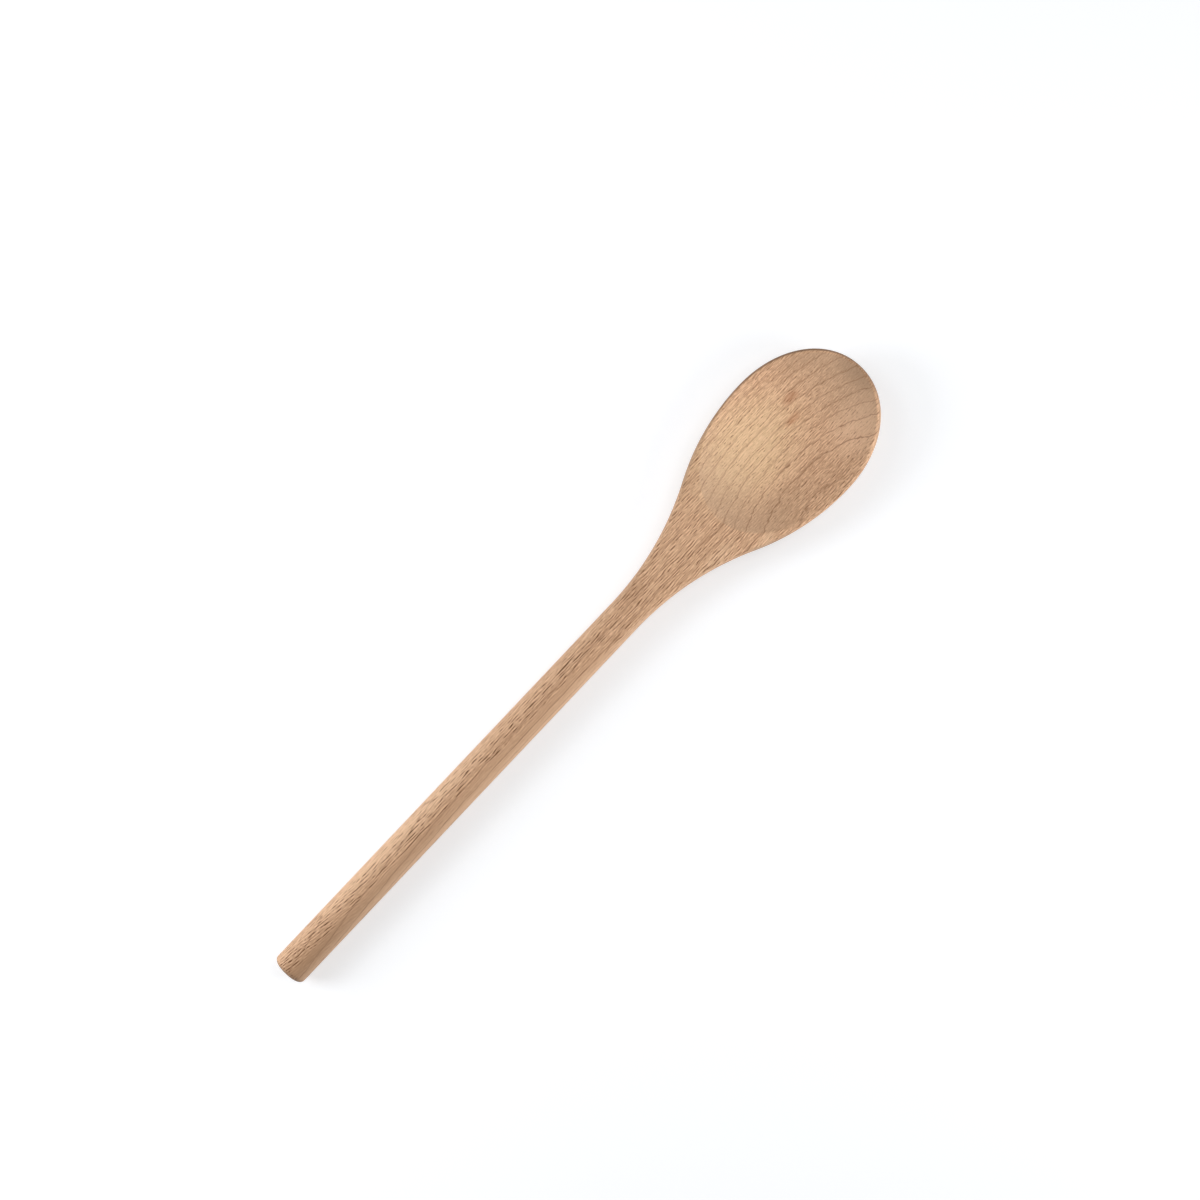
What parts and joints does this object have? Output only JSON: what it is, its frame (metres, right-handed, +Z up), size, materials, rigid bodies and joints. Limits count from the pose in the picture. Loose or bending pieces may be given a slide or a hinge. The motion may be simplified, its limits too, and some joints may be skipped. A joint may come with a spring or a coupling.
{
  "type": "cooking spoon",
  "caption": "Plain wooden cooking spoon carved in one piece: a long round handle, a neck flat on top and an egg-shaped bowl with an oval hollow.",
  "frame": {"origin": "middle of the spoon's footprint, on the surface that it lies on", "axes": "+X along the spoon from the handle's end to the bowl's tip, +Z up out of the hollow, +Y to the left of the bowl as seen from the handle"},
  "size_m": [0.3, 0.054, 0.0141],
  "materials": {
    "beech": "sanded smooth"
  },
  "bodies": {
    "root": {"spoon": "beech"}
  },
  "joints": []
}
